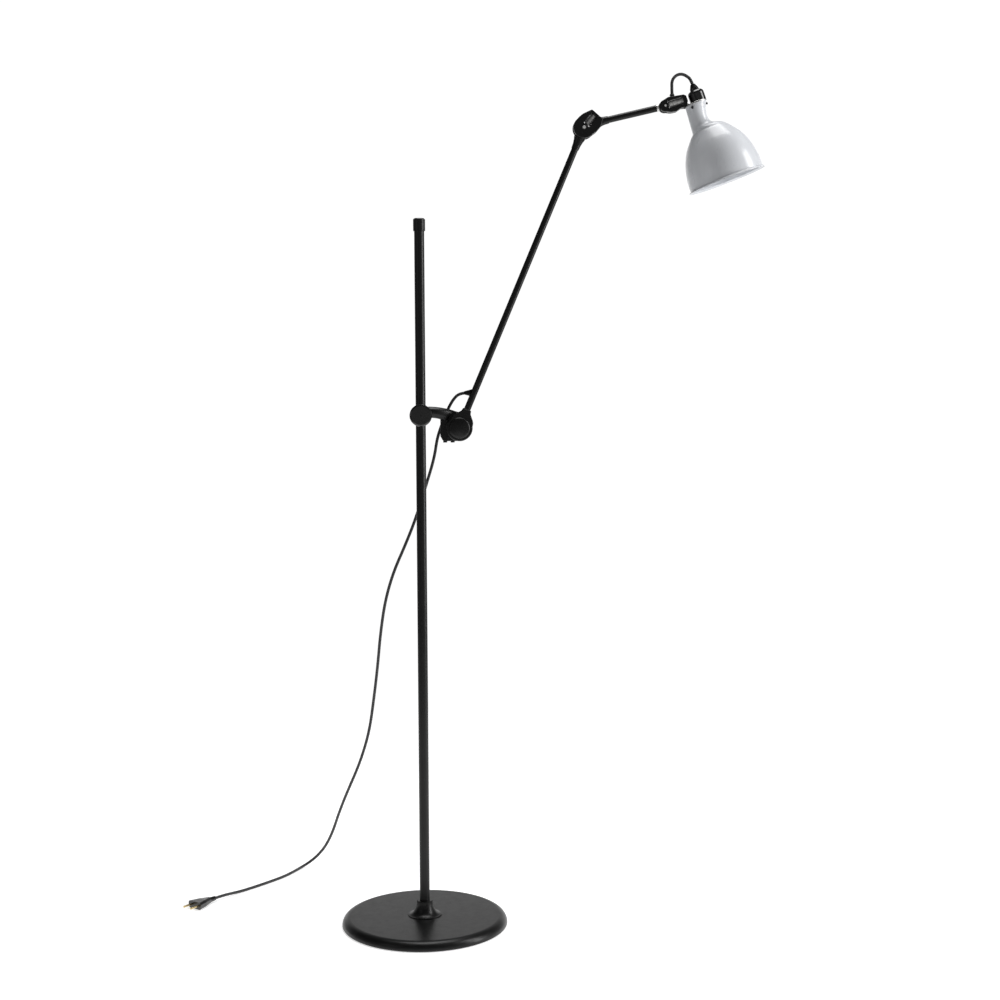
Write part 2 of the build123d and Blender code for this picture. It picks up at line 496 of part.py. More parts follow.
# ---------------------------------------------------------------- wrist cage and swivel
def make_wrist():
    shape = Polygon(
        (-1, 10.4), (9, 13.3), (36.4, 9.6), (40.2, 6.9), (43.5, -5.5), (38, -14),
        (27, -11.6), (17, -14.9), (7, -13.9), (-1, -10.4), align=None,
    )
    outer = [v for v in shape.vertices() if v.X > 5]
    block = disc_y(WRIST_RADIUS, -WRIST_HALF, WRIST_HALF)
    block += slab(Plane.XZ * fillet(outer, 2.0), -WRIST_HALF, WRIST_HALF)
    cage = fillet(block.faces().filter_by(Axis.Y).edges(), 1.6)
    boss = at_wrist_cage.inverse() * at_swivel * rod_x(SWIVEL_BOSS_RADIUS, -7.5, SWIVEL_FACE)
    cage += boss
    window = Plane.XZ * Pos((WRIST_WINDOW[0] + WRIST_WINDOW[1]) / 2, 0) * RectangleRounded(
        WRIST_WINDOW[1] - WRIST_WINDOW[0], 2 * WRIST_BARREL + 0.6, 0.4)
    cage -= slab(window, -20, 20)
    cage -= disc_y(WRIST_RADIUS + 0.5, -WRIST_TONGUE - 0.3, WRIST_TONGUE + 0.3)
    cage -= disc_y(WRIST_PIN_RADIUS, -20, 20)
    cage -= rod_x(SET_SCREW_RADIUS, WRIST_WINDOW[1] - 1, WRIST_WINDOW[1] + 12)
    cage = at_wrist_cage * cage
    head_room = [
        (-70, 0), (SWIVEL_FACE, 0), (SWIVEL_FACE, 10.1), (-9, 20.3), (-43, 60), (-70, 60),
    ]
    cage &= at_swivel * revolve(Plane.XZ * Polygon(*head_room, align=None), Axis.X)
    cage -= at_swivel * rod_x(SWIVEL_SCREW_RADIUS + RUNNING, SWIVEL_SCREW_START - 0.2, 2)
    cage -= at_cord_exit * Pos(0, 0, -7) * Cylinder(CORD / 2 + 0.8, 12, align=BOTTOM)
    save(cage, "wrist_cage")

    end = WRIST_WINDOW[1] - 0.3
    nose = WRIST_EYE + 0.4
    r = WRIST_BARREL
    barrel = revolve(Plane.XZ * make_face(
        Spline((nose, 0), (nose + 1.4, 4.4), (nose + 4.4, r), tangents=((0, 1), (1, 0)))
        + Polyline(
            (nose + 4.4, r), (nose + 8.2, r), (nose + 8.5, r - 0.8), (nose + 9.1, r - 0.8),
            (nose + 9.4, r), (end - 4.0, r), (end - 3.7, r - 1.0), (end - 2.8, r - 1.0),
            (end - 2.5, r), (end, r), (end, 0), (nose, 0),
        )
    ), Axis.X)
    barrel -= rod_x(SET_SCREW_RADIUS, end - 8, end)
    place(barrel, at_wrist_cage, "wrist_barrel")
    place(rod_x(SET_SCREW_RADIUS, end - 8, end + 4.8), at_wrist_cage, "wrist_set_screw")
    place(disc_y(WRIST_PIN_RADIUS, -WRIST_HALF - 0.3, WRIST_HALF + 0.3), at_wrist_cage, "wrist_pin")

    grommet = Pos(0, 0, -6.5) * Cylinder(CORD / 2 + 0.8, 6.5, align=BOTTOM)
    grommet += Pos(0, 0, -0.6) * Cone(CORD / 2 + 1.8, CORD / 2 + 0.7, 3.0, align=BOTTOM)
    grommet -= Cylinder(CORD_HOLE, 6.0, align=BOTTOM)
    save(at_cord_exit * grommet, "cord_grommet")


# ---------------------------------------------------------------- shade, lampholder and bulb
def bell(inset, dome):
    """The bell as a full solid, from the foot of its side to the top of its dome, moved inwards by inset."""
    side = []
    for step in range(6):
        turn = math.radians(BELL_ARC * step / 5)
        side.append(((BELL_RADIUS - inset) * math.cos(turn), BELL_BASE + (BELL_HEIGHT - inset) * math.sin(turn)))
    top = dome[-1]
    profile = Spline(*side, *dome, tangents=((0, 1), (-1, 0))) + Polyline(top, (0, BELL_BASE), side[0])
    return revolve(Plane.XZ * make_face(profile), Axis.Z)


def neck(inset):
    """The neck as a full solid of round sections whose centres drift sideways, made thinner by inset."""
    outline = Spline(*NECK)
    rings = []
    for step in range(NECK_SECTIONS + 1):
        spot = outline @ (step / NECK_SECTIONS)
        left = NECK_LEFT - (NECK_TOP - spot.Y) * NECK_LEFT_LEAN
        drop = inset * step / NECK_SECTIONS
        rings.append(Pos((left + spot.X) / 2, 0, spot.Y - drop) * Circle((spot.X - left) / 2 - inset))
    return loft(rings)


def make_shade():
    inner = BELL_RADIUS - SHADE_WALL
    rim = turned([
        (inner, BELL_BASE), (BELL_RADIUS, BELL_BASE), (BELL_RADIUS - 0.2, 3.8), (RIM_RADIUS, 1.1), (RIM_RADIUS, 0),
        (RIM_RADIUS - 1.0, 0), (inner - 0.2, 3.2),
    ])
    shade = bell(0, DOME) + neck(0) - bell(SHADE_WALL, DOME_INSIDE) - neck(SHADE_WALL)
    shade = at_shade * (shade + rim)
    shade -= at_swivel * rod_x(LUG_RADIUS, -2, 11)
    shade -= at_swivel * rod_x(25, -20, -SWIVEL_FACE)
    for angle in NECK_SCREW_ANGLES:
        shade -= at_neck_screw(angle) * rod_x(1.5, 10, 26)
    save(shade, "shade")


def at_neck_screw(angle):
    return at_shade * Pos(NECK_SCREW_X, 0, NECK_SCREW_HEIGHT) * Rotation(0, 0, angle)


def make_gallery_ring():
    plug = neck(SHADE_WALL) & (Pos(0, 0, SKIRT_BOTTOM) * Cylinder(60, NECK_TOP - SKIRT_BOTTOM, align=BOTTOM))
    flange = Pos(NECK_TOP_X, 0, NECK_TOP) * Cylinder(RING_RADIUS, RING_TOP - NECK_TOP, align=BOTTOM)
    flange = fillet(flange.edges().sort_by(Axis.Z)[-1], 0.8)
    lug = at_swivel * rod_x(LUG_RADIUS, -SWIVEL_FACE, 10.9)
    lug -= at_cap * Pos(0, 0, RING_TOP) * Cylinder(HOLDER_CAP_RADIUS + 0.2, 40, align=BOTTOM)
    ring = at_shade * (plug + flange) - at_swivel * rod_x(25, -20, -SWIVEL_FACE) + lug
    ring -= at_holder * Cylinder(HOLDER_RADIUS, 400)
    ring -= at_swivel * rod_x(SWIVEL_SCREW_RADIUS, 0, 8)
    screws = []
    for angle in NECK_SCREW_ANGLES:
        spot = at_neck_screw(angle)
        ring -= spot * rod_x(1.5, 14.5, 26)
        head = rod_x(2.4, NECK_SCREW_START, NECK_SCREW_START + 1.6, 1.9)
        screws.append(spot * (rod_x(1.5, 14.5, NECK_SCREW_START) + head))
    save(ring, "gallery_ring")
    save(Compound(screws), "neck_screws")
    screw = rod_x(SWIVEL_SCREW_RADIUS, SWIVEL_SCREW_START, 7.9)
    place(screw, at_swivel, "swivel_screw")


def make_lampholder():
    body = Pos(0, 0, 100) * Cylinder(HOLDER_RADIUS, RING_TOP - 90, align=BOTTOM)
    body -= Pos(0, 0, 100) * Cylinder(7.3, 32, align=BOTTOM)
    body = at_holder * body - at_shade * Pos(0, 0, RING_TOP) * Cylinder(60, 40, align=BOTTOM)
    for angle in NECK_SCREW_ANGLES:
        body -= at_neck_screw(angle) * rod_x(1.7, 14, 26)
    save(body, "lampholder")
    ring = Pos(0, 0, 100.5) * Cylinder(14.0, 4, align=BOTTOM)
    ring -= Pos(0, 0, 100.5) * Cylinder(HOLDER_RADIUS, 4, align=BOTTOM)
    place(ring, at_holder, "lampholder_ring")
    r = HOLDER_CAP_RADIUS
    cap = turned([
        (0, RING_TOP), (r, RING_TOP), (r, HOLDER_CAP_TOP - 6), (r - 0.9, HOLDER_CAP_TOP - 3),
        (r - 3.4, HOLDER_CAP_TOP - 0.8), (8.4, HOLDER_CAP_TOP), (0, HOLDER_CAP_TOP),
    ])
    place(cap, at_cap, "lampholder_cap")
    grip = turned([
        (0, HOLDER_CAP_TOP), (8.2, HOLDER_CAP_TOP), (7.6, HOLDER_CAP_TOP + 4),
        (5.2, GRIP_TOP - 2), (4.5, GRIP_TOP), (0, GRIP_TOP),
    ])
    grip -= Pos(0, 0, GRIP_TOP - 4) * Cylinder(CORD_HOLE, 4, align=BOTTOM)
    place(grip, at_cap, "cord_grip")


def make_bulb():
    foot = BULB_CENTRE + 29.0
    glass_foot = 6.4
    spread = math.degrees(math.acos(12.0 / BULB_RADIUS))
    join = (12.0, BULB_CENTRE + BULB_RADIUS * math.sin(math.radians(spread)))
    globe = CenterArc((0, BULB_CENTRE), BULB_RADIUS, -90, 90 + spread)
    slope = (-math.sin(math.radians(spread)), math.cos(math.radians(spread)))
    throat = Spline(join, (glass_foot, foot), tangents=(slope, (0, 1)))
    closing = Polyline((glass_foot, foot), (0, foot), (0, BULB_CENTRE - BULB_RADIUS))
    glass = revolve(Plane.XZ * make_face(globe + throat + closing), Axis.Z)
    place(glass, at_holder, "bulb_glass")
    cap = turned([
        (0, foot), (6.9, foot), (6.9, foot + 20), (3.2, foot + 23), (3.2, foot + 25), (0, foot + 25),
    ])
    place(cap, at_holder, "bulb_cap")


# ---------------------------------------------------------------- cords and plug
def tube_along(points):
    """A cord through corner points, straight runs joined by arcs as large as the runs allow."""
    corners = [Vector(*p) for p in points]
    radii = []
    for before, corner, after in zip(corners, corners[1:], corners[2:]):
        turn = (corner - before).get_angle(after - corner)
        shorter = min((corner - before).length, (after - corner).length)
        radii.append(0.45 * shorter / math.tan(math.radians(turn / 2)))
    path = FilletPolyline(*corners, radius=radii)
    start = Plane(origin=path @ 0, z_dir=path % 0)
    tube = sweep(start * Circle(CORD / 2), path)
    return tube, path, radii


def make_cords():
    for node, points in CORD_ROUTES.items():
        tube, path, radii = tube_along(points)
        ratio = tube.volume / (math.pi * (CORD / 2) ** 2 * path.length)
        print(node, f"length {path.length:.0f} mm, volume ratio {ratio:.4f}, radii",
              " ".join(f"{r:.0f}" for r in radii))
        save(tube, node)


def make_plug():
    back = RectangleRounded(12.0, 12.0, 5.5)
    face = RectangleRounded(PLUG_FACE_WIDTH, PLUG_FACE_HEIGHT, 5.0)
    middle = RectangleRounded(25.0, PLUG_FACE_HEIGHT, 5.0)
    body = loft([back, Pos(0, 0, 18) * middle, Pos(0, 0, PLUG_LENGTH) * face], ruled=True)
    sleeve = Pos(0, 0, -PLUG_SLEEVE) * Cone(4.2, 5.2, PLUG_SLEEVE, align=BOTTOM)
    sleeve -= Pos(0, 0, -PLUG_SLEEVE) * Cylinder(CORD_HOLE, PLUG_SLEEVE - 2, align=BOTTOM)
    save(at_plug * (body + sleeve), "plug_body")
    pin = Pos(0, 0, PLUG_LENGTH) * fillet(Cylinder(2.0, PIN_LENGTH, align=BOTTOM).edges().sort_by(Axis.Z)[-1], 0.9)
    pins = [at_plug * Pos(side * PIN_SPACING / 2, 0, 0) * pin for side in (-1, 1)]
    save(Compound(pins), "plug_pins")


# ---------------------------------------------------------------- cord routes
def carry_on(before, joint, share):
    """The next corner of a cord that carries straight on past the joint between two runs."""
    return tuple(j + share * (j - b) for b, j in zip(before, joint))


bracket_end = (33.9, 25.5, 896.0)
pole_end = (0.5, 19.0, 772.5)
above_bracket_end = (38.7, 25.2, 909.5)
above_pole_end = (11.5, 20.9, 807.0)
CORD_ROUTES = {
    "arm_cord": [
        tuple((at_outlet * Pos(0, 0, OUTLET_LENGTH - 5)).position),
        tuple((at_outlet * Pos(0, 0, OUTLET_LENGTH + 11)).position),
        (57.0, 20.6, 950.3), (47.0, 23.8, 930.5), above_bracket_end, bracket_end,
    ],
    "bracket_cord": [
        bracket_end, carry_on(above_bracket_end, bracket_end, 0.95),
        (24.0, 24.5, 848.0), above_pole_end, pole_end,
    ],
    "mains_cord": [
        pole_end, carry_on(above_pole_end, pole_end, 0.95),
        (-29.0, 21.0, 692.0), (-52.0, 33.0, 640.0),
        (-68.0, 52.0, 585.0), (-78.0, 80.0, 520.0), (-84.5, 110.0, 455.0), (-93.2, 142.0, 388.0),
        (-104.0, 176.0, 315.0), (-125.0, 212.0, 245.0), (-152.5, 252.0, 178.0),
        (-171.0, 286.0, 127.0), (-183.6, 314.0, 86.0), (-199.0, 338.0, 50.0), (-217.5, 353.0, 24.0),
        (-235.5, 356.0, 9.0), (-250.0, 344.0, 3.2), (-263.0, 317.0, 2.9), (-279.0, 287.0, 2.9),
        (-303.0, 256.0, 2.9), (-331.7, 223.0, 2.9), (-357.0, 196.0, 3.0), (-373.5, 176.5, 5.6),
        (-389.5, 157.6, 7.2), (-404.5, 140.0, 7.2),
    ],
    "head_cord": [
        CORD_EXIT, (450.1, 0.0, 1502.0), (450.2, 0.0, 1515.0), (457.6, 0.0, 1524.4), (468.4, 0.0, 1526.8),
        (478.6, 0.0, 1521.8),
        tuple((at_cap * Pos(0, 0, GRIP_TOP + 8.5)).position),
        tuple((at_cap * Pos(0, 0, GRIP_TOP - 3)).position),
    ],
}

make_base()
make_foot_collar()
make_pole()
make_clamp_bracket()
make_clamp_fittings()
make_arm_hub()
make_long_arm()
make_elbow()
make_forearm()
make_wrist()
make_shade()
make_gallery_ring()
make_lampholder()
make_bulb()
make_cords()
make_plug()
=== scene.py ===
import bmesh
import bpy
import json
import math
from mathutils import Matrix, Vector


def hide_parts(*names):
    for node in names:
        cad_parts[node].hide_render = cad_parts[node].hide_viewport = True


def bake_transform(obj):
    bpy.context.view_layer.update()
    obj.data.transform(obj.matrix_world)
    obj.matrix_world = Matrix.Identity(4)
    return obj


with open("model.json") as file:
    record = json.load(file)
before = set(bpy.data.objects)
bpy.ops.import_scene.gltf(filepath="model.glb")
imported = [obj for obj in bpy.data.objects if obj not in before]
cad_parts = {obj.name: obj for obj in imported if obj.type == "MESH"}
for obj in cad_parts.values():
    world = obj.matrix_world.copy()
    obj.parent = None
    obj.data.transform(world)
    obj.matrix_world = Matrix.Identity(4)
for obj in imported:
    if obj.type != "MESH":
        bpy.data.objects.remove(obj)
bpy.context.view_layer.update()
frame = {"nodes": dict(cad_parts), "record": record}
nodes = frame["nodes"]

# ---------------------------------------------------------------- camera
CAMERA_PLACE = Vector((0.0, -2.7, 0.9415))
CAMERA_YAW = math.radians(-2.986)
CAMERA_PITCH = math.radians(3.597)
CAMERA_ROLL = math.radians(-0.305)
SENSOR = 36.0
LENS = 54.33


def make_camera():
    """The camera stands in front of the pole, looks a little down and a little to the right."""
    forward = Vector((
        -math.sin(CAMERA_YAW) * math.cos(CAMERA_PITCH),
        math.cos(CAMERA_YAW) * math.cos(CAMERA_PITCH),
        -math.sin(CAMERA_PITCH),
    ))
    level = Vector((math.cos(CAMERA_YAW), math.sin(CAMERA_YAW), 0))
    upright = level.cross(forward)
    right = math.cos(CAMERA_ROLL) * level + math.sin(CAMERA_ROLL) * upright
    up = math.cos(CAMERA_ROLL) * upright - math.sin(CAMERA_ROLL) * level
    data = bpy.data.cameras.new("camera")
    data.sensor_width = SENSOR
    data.lens = LENS
    camera = bpy.data.objects.new("camera", data)
    bpy.context.scene.collection.objects.link(camera)
    turn = Matrix((right, up, -forward)).transposed()
    camera.matrix_world = Matrix.Translation(CAMERA_PLACE) @ turn.to_4x4()
    bpy.context.scene.camera = camera


# ---------------------------------------------------------------- node helpers
def new_material(name):
    material = bpy.data.materials.new(name)
    material.use_nodes = True
    return material, material.node_tree, material.node_tree.nodes["Principled BSDF"]


def add(tree, kind, **values):
    """A shader node; values are its properties, or its input sockets by name with spaces as underscores."""
    node = tree.nodes.new(kind)
    for key, value in values.items():
        if hasattr(node, key):
            setattr(node, key, value)
        else:
            node.inputs[key.replace("_", " ")].default_value = value
    return node


def wire(tree, source, output, target, socket):
    tree.links.new(source.outputs[output], target.inputs[socket])


def noise(tree, coordinates, scale, detail=3.0, roughness=0.55, stretch=None):
    """Noise over the piece's own coordinates, in features per metre, stretched along an axis if asked."""
    source, output = coordinates
    if stretch is not None:
        mapping = add(tree, "ShaderNodeMapping")
        mapping.inputs["Scale"].default_value = stretch
        wire(tree, source, output, mapping, "Vector")
        source, output = mapping, "Vector"
    node = add(tree, "ShaderNodeTexNoise", Scale=scale, Detail=detail, Roughness=roughness)
    wire(tree, source, output, node, "Vector")
    return node


def ramp(tree, source, output, stops):
    """A colour ramp from (place, grey or colour) stops."""
    node = add(tree, "ShaderNodeValToRGB")
    elements = node.color_ramp.elements
    while len(elements) < len(stops):
        elements.new(0.5)
    for element, (place, colour) in zip(elements, stops):
        element.position = place
        if isinstance(colour, (int, float)):
            colour = (colour, colour, colour)
        element.color = (*colour, 1.0)
    wire(tree, source, output, node, "Fac")
    return node


def bumps(tree, shader, layers):
    """Stacks bumps of (node, output, strength, distance in metres) on the shader's normal."""
    last = None
    for source, output, strength, distance in layers:
        bump = add(tree, "ShaderNodeBump", Strength=strength, Distance=distance)
        wire(tree, source, output, bump, "Height")
        if last is not None:
            wire(tree, last, "Normal", bump, "Normal")
        last = bump
    wire(tree, last, "Normal", shader, "Normal")


def piece_coordinates(tree):
    return add(tree, "ShaderNodeTexCoord"), "Object"


# ---------------------------------------------------------------- materials
def enamel(name, dark, light, rough_low, rough_high, peel, coat, shine):
    """Sprayed or stoved enamel: slight cloudiness, orange peel and a clear gloss on top."""
    material, tree, shader = new_material(name)
    where = piece_coordinates(tree)
    cloud = noise(tree, where, 38.0, 4.0)
    colour = ramp(tree, cloud, "Fac", [(0.3, dark), (0.72, light)])
    wire(tree, colour, "Color", shader, "Base Color")
    smear = noise(tree, where, 90.0, 5.0, 0.6, (1.0, 1.0, 0.35))
    rough = ramp(tree, smear, "Fac", [(0.3, rough_low), (0.7, rough_high)])
    wire(tree, rough, "Color", shader, "Roughness")
    orange_peel = noise(tree, where, 620.0, 2.0, 0.4)
    fine = noise(tree, where, 2600.0, 2.0, 0.5)
    bumps(tree, shader, [(orange_peel, "Fac", peel, 0.00006), (fine, "Fac", peel * 0.5, 0.00002)])
    shader.inputs["Specular IOR Level"].default_value = shine
    shader.inputs["Coat Weight"].default_value = coat
    shader.inputs["Coat Roughness"].default_value = 0.09
    return material


def metal(name, dark, light, rough_low, rough_high, stretch, scratch, metallic=1.0):
    """Bare or plated metal: fine turning lines, a faint tarnish and small scratches."""
    material, tree, shader = new_material(name)
    where = piece_coordinates(tree)
    tarnish = noise(tree, where, 160.0, 4.0)
    colour = ramp(tree, tarnish, "Fac", [(0.28, dark), (0.74, light)])
    wire(tree, colour, "Color", shader, "Base Color")
    lines = noise(tree, where, 900.0, 3.0, 0.6, stretch)
    rough = ramp(tree, lines, "Fac", [(0.3, rough_low), (0.7, rough_high)])
    wire(tree, rough, "Color", shader, "Roughness")
    nicks = noise(tree, where, 3200.0, 2.0, 0.5, stretch)
    bumps(tree, shader, [(lines, "Fac", scratch, 0.00002), (nicks, "Fac", scratch * 0.6, 0.00001)])
    shader.inputs["Metallic"].default_value = metallic
    return material


def moulded(name, dark, light, rough_low, rough_high, grain_scale, grain, coat=0.0, sheen=0.0):
    """Moulded plastic or rubber with a spark-eroded grain."""
    material, tree, shader = new_material(name)
    where = piece_coordinates(tree)
    cloud = noise(tree, where, 120.0, 3.0)
    colour = ramp(tree, cloud, "Fac", [(0.3, dark), (0.7, light)])
    wire(tree, colour, "Color", shader, "Base Color")
    wear = noise(tree, where, 260.0, 4.0, 0.65)
    rough = ramp(tree, wear, "Fac", [(0.32, rough_low), (0.7, rough_high)])
    wire(tree, rough, "Color", shader, "Roughness")
    pits = add(tree, "ShaderNodeTexVoronoi", Scale=grain_scale)
    wire(tree, where[0], where[1], pits, "Vector")
    soft = noise(tree, where, grain_scale * 0.4, 2.0)
    bumps(tree, shader, [(pits, "Distance", grain, 0.00004), (soft, "Fac", grain * 0.7, 0.00005)])
    shader.inputs["Coat Weight"].default_value = coat
    shader.inputs["Coat Roughness"].default_value = 0.06
    shader.inputs["Sheen Weight"].default_value = sheen
    return material


BRAID_STRANDS = 12.0
BRAID_PER_METRE = 620.0


def braided_jacket(name):
    """Black braided textile over the cord: two sets of crossing strands, round and along the tube, with
    painted shade darkening the strands' edges.
    """
    material, tree, shader = new_material(name)
    where = add(tree, "ShaderNodeTexCoord")
    split = add(tree, "ShaderNodeSeparateXYZ")
    wire(tree, where, "UV", split, "Vector")

    def math_node(operation, first, second=None):
        node = add(tree, "ShaderNodeMath", operation=operation)
        for index, value in enumerate([first, second]):
            if value is None:
                continue
            if isinstance(value, (int, float)):
                node.inputs[index].default_value = value
            else:
                tree.links.new(value, node.inputs[index])
        return node.outputs[0]

    turn = math_node("MULTIPLY", split.outputs["X"], 2 * math.pi * BRAID_STRANDS)
    run = math_node("MULTIPLY", split.outputs["Y"], 2 * math.pi * BRAID_PER_METRE / 2)
    one_way = math_node("SINE", math_node("ADD", turn, run))
    other_way = math_node("SINE", math_node("SUBTRACT", turn, run))
    over = math_node("GREATER_THAN", math_node("MULTIPLY", one_way, other_way), 0.0)
    strand_a = math_node("MULTIPLY", math_node("ABSOLUTE", one_way), over)
    strand_b = math_node("MULTIPLY", math_node("ABSOLUTE", other_way), math_node("SUBTRACT", 1.0, over))
    weave = math_node("ADD", strand_a, strand_b)
    bump = add(tree, "ShaderNodeBump", Strength=0.7, Distance=0.00022)
    tree.links.new(weave, bump.inputs["Height"])
    thread = noise(tree, (where, "Object"), 5200.0, 2.0, 0.6)
    fuzz = add(tree, "ShaderNodeBump", Strength=0.25, Distance=0.00006)
    wire(tree, thread, "Fac", fuzz, "Height")
    wire(tree, bump, "Normal", fuzz, "Normal")
    wire(tree, fuzz, "Normal", shader, "Normal")
    # Painted shade: the braid's colour goes from 0.026 on the strand crowns down to 0.006 at their edges,
    # where they dip under each other.
    strand_edge_shade = add(tree, "ShaderNodeValToRGB")
    strand_edge_shade.color_ramp.elements[0].color = (0.006, 0.006, 0.007, 1)
    strand_edge_shade.color_ramp.elements[1].color = (0.026, 0.026, 0.028, 1)
    tree.links.new(weave, strand_edge_shade.inputs["Fac"])
    tint = add(tree, "ShaderNodeMixRGB", blend_type="MULTIPLY", Fac=0.45)
    patch = ramp(tree, noise(tree, (where, "Object"), 70.0, 3.0), "Fac", [(0.3, 0.55), (0.7, 1.0)])
    wire(tree, strand_edge_shade, "Color", tint, "Color1")
    wire(tree, patch, "Color", tint, "Color2")
    wire(tree, tint, "Color", shader, "Base Color")
    rough = ramp(tree, thread, "Fac", [(0.3, 0.62), (0.7, 0.85)])
    wire(tree, rough, "Color", shader, "Roughness")
    shader.inputs["Sheen Weight"].default_value = 0.25
    shader.inputs["Sheen Roughness"].default_value = 0.5
    return material


def opal_glass(name):
    """Opal lamp glass: a milky white with faint streaks from blowing, and a polished skin."""
    material, tree, shader = new_material(name)
    where = piece_coordinates(tree)
    streak = noise(tree, where, 60.0, 4.0, 0.5, (1.0, 1.0, 0.25))
    colour = ramp(tree, streak, "Fac", [(0.3, (0.86, 0.85, 0.82)), (0.7, (0.94, 0.93, 0.9))])
    wire(tree, colour, "Color", shader, "Base Color")
    rough = ramp(tree, streak, "Fac", [(0.3, 0.1), (0.7, 0.2)])
    wire(tree, rough, "Color", shader, "Roughness")
    ripple = noise(tree, where, 220.0, 2.0)
    bumps(tree, shader, [(ripple, "Fac", 0.08, 0.0001)])
    shader.inputs["Transmission Weight"].default_value = 0.35
    shader.inputs["Coat Weight"].default_value = 0.5
    shader.inputs["Coat Roughness"].default_value = 0.03
    return material


ROUND_POLE = (1.0, 1.0, 0.03)
ROUND_ARMS = (1.0, 0.06, 1.0)
black_enamel = enamel("black_enamel", 0.0028, 0.0042, 0.31, 0.38, 0.05, 0.04, 0.3)
white_lacquer = enamel("white_lacquer", (0.66, 0.677, 0.71), (0.71, 0.727, 0.755), 0.26, 0.34, 0.08, 0.3, 0.5)
nickel = metal("nickel", (0.66, 0.655, 0.64), (0.80, 0.795, 0.78), 0.30, 0.42, ROUND_ARMS, 0.15, 0.6)
zinc_steel = metal("zinc_steel", (0.47, 0.47, 0.46), (0.64, 0.64, 0.63), 0.26, 0.42, ROUND_POLE, 0.35)
brass = metal("brass", (0.60, 0.47, 0.24), (0.78, 0.64, 0.36), 0.2, 0.34, ROUND_POLE, 0.3)
black_screw = metal("black_screw", (0.028, 0.028, 0.03), (0.055, 0.055, 0.06), 0.3, 0.45, ROUND_POLE, 0.4)
black_plastic = moulded("black_plastic", 0.004, 0.0065, 0.18, 0.26, 2400.0, 0.05, 0.3)
nylon = moulded("nylon", 0.018, 0.03, 0.42, 0.55, 1800.0, 0.25)
rubber = moulded("rubber", 0.014, 0.026, 0.7, 0.88, 1300.0, 0.6, 0.0, 0.15)
cord_jacket = braided_jacket("cord_jacket")
bulb_opal = opal_glass("bulb_opal")

MATERIAL_OF_SLOT = {
    "black_enamel": black_enamel,
    "rubber_pad": rubber,
    "zinc_steel": zinc_steel,
    "black_screw": black_screw,
    "nickel": nickel,
    "nylon": nylon,
    "black_plastic": black_plastic,
    "white_lacquer": white_lacquer,
    "cord_jacket": cord_jacket,
    "bulb_glass": bulb_opal,
    "brass_cap": brass,
}


def paint(piece, material):
    piece.data.materials.clear()
    piece.data.materials.append(material)


SMOOTH_BELOW = math.radians(32)


def paint_cad_nodes():
    for part in frame["record"]["subparts"]:
        piece = nodes[part["node"]]
        paint(piece, MATERIAL_OF_SLOT[part["material_slot"]])
        piece.data.shade_smooth()
        piece.data.set_sharp_from_angle(angle=SMOOTH_BELOW)


# ---------------------------------------------------------------- cords
CORD_DIAMETER = 0.0055
BRACKET_END = (0.0339, 0.0255, 0.8960)
POLE_END = (0.0005, 0.0190, 0.7725)
CORD_EXIT = (0.4506, 0.0, 1.4890)
OUTLET = (0.08359, 0.00642, 0.96364)
FLOOR_LANDING = (-0.2355, 0.3560, 0.0090)
GRIP_ENTRY = (0.48436, 0.0, 1.51597)
LOOP_FOOT = (0.4501, 0.0, 1.5020)
ROUTES = {
    "arm_cord": [
        OUTLET, (0.06951, 0.01403, 0.96364), (0.0570, 0.0206, 0.9503), (0.0470, 0.0238, 0.9305),
        (0.0387, 0.0252, 0.9095), BRACKET_END,
    ],
    "bracket_cord": [
        BRACKET_END, (0.02934, 0.02579, 0.88317), (0.0240, 0.0245, 0.8480),
        (0.0115, 0.0209, 0.8070), POLE_END,
    ],
    "mains_cord": [
        POLE_END, (-0.00995, 0.01720, 0.73973), (-0.0290, 0.0210, 0.6920), (-0.0520, 0.0330, 0.6400),
        (-0.0680, 0.0520, 0.5850), (-0.0780, 0.0800, 0.5200), (-0.0845, 0.1100, 0.4550),
        (-0.0932, 0.1420, 0.3880), (-0.1040, 0.1760, 0.3150), (-0.1250, 0.2120, 0.2450),
        (-0.1525, 0.2520, 0.1780), (-0.1710, 0.2860, 0.1270), (-0.1836, 0.3140, 0.0860),
        (-0.1990, 0.3380, 0.0500), (-0.2175, 0.3530, 0.0240), FLOOR_LANDING,
        (-0.2500, 0.3440, 0.0032), (-0.2630, 0.3170, 0.0029), (-0.2790, 0.2870, 0.0029),
        (-0.3030, 0.2560, 0.0029), (-0.3317, 0.2230, 0.0029), (-0.3570, 0.1960, 0.0030),
        (-0.3735, 0.1765, 0.0056), (-0.3895, 0.1576, 0.0072), (-0.4045, 0.1400, 0.0072),
    ],
    "head_cord": [
        CORD_EXIT, LOOP_FOOT, (0.4502, 0.0, 1.5150), (0.4576, 0.0, 1.5244),
        (0.4684, 0.0, 1.5268), (0.4786, 0.0, 1.5218), GRIP_ENTRY, (0.48830, 0.0, 1.50517),
    ],
}
CORD_SIDES = 20
PLUG_PIECES = [nodes["plug_body"], nodes["plug_pins"]]


def cord_line(name, points):
    """The points of a smooth line through a cord's route, read from a NURBS spline of order 3."""
    data = bpy.data.curves.new(name + "_line", "CURVE")
    data.dimensions = "3D"
    spline = data.splines.new("NURBS")
    spline.points.add(len(points) - 1)
    for target, point in zip(spline.points, points):
        target.co = (*point, 1.0)
    spline.order_u = 3
    spline.use_endpoint_u = True
    data.resolution_u = 10
    holder = bpy.data.objects.new(name + "_line", data)
    bpy.context.scene.collection.objects.link(holder)
    line = bpy.data.meshes.new_from_object(holder)
    path = [vertex.co.copy() for vertex in line.vertices]
    bpy.data.objects.remove(holder)
    bpy.data.curves.remove(data)
    bpy.data.meshes.remove(line)
    return path


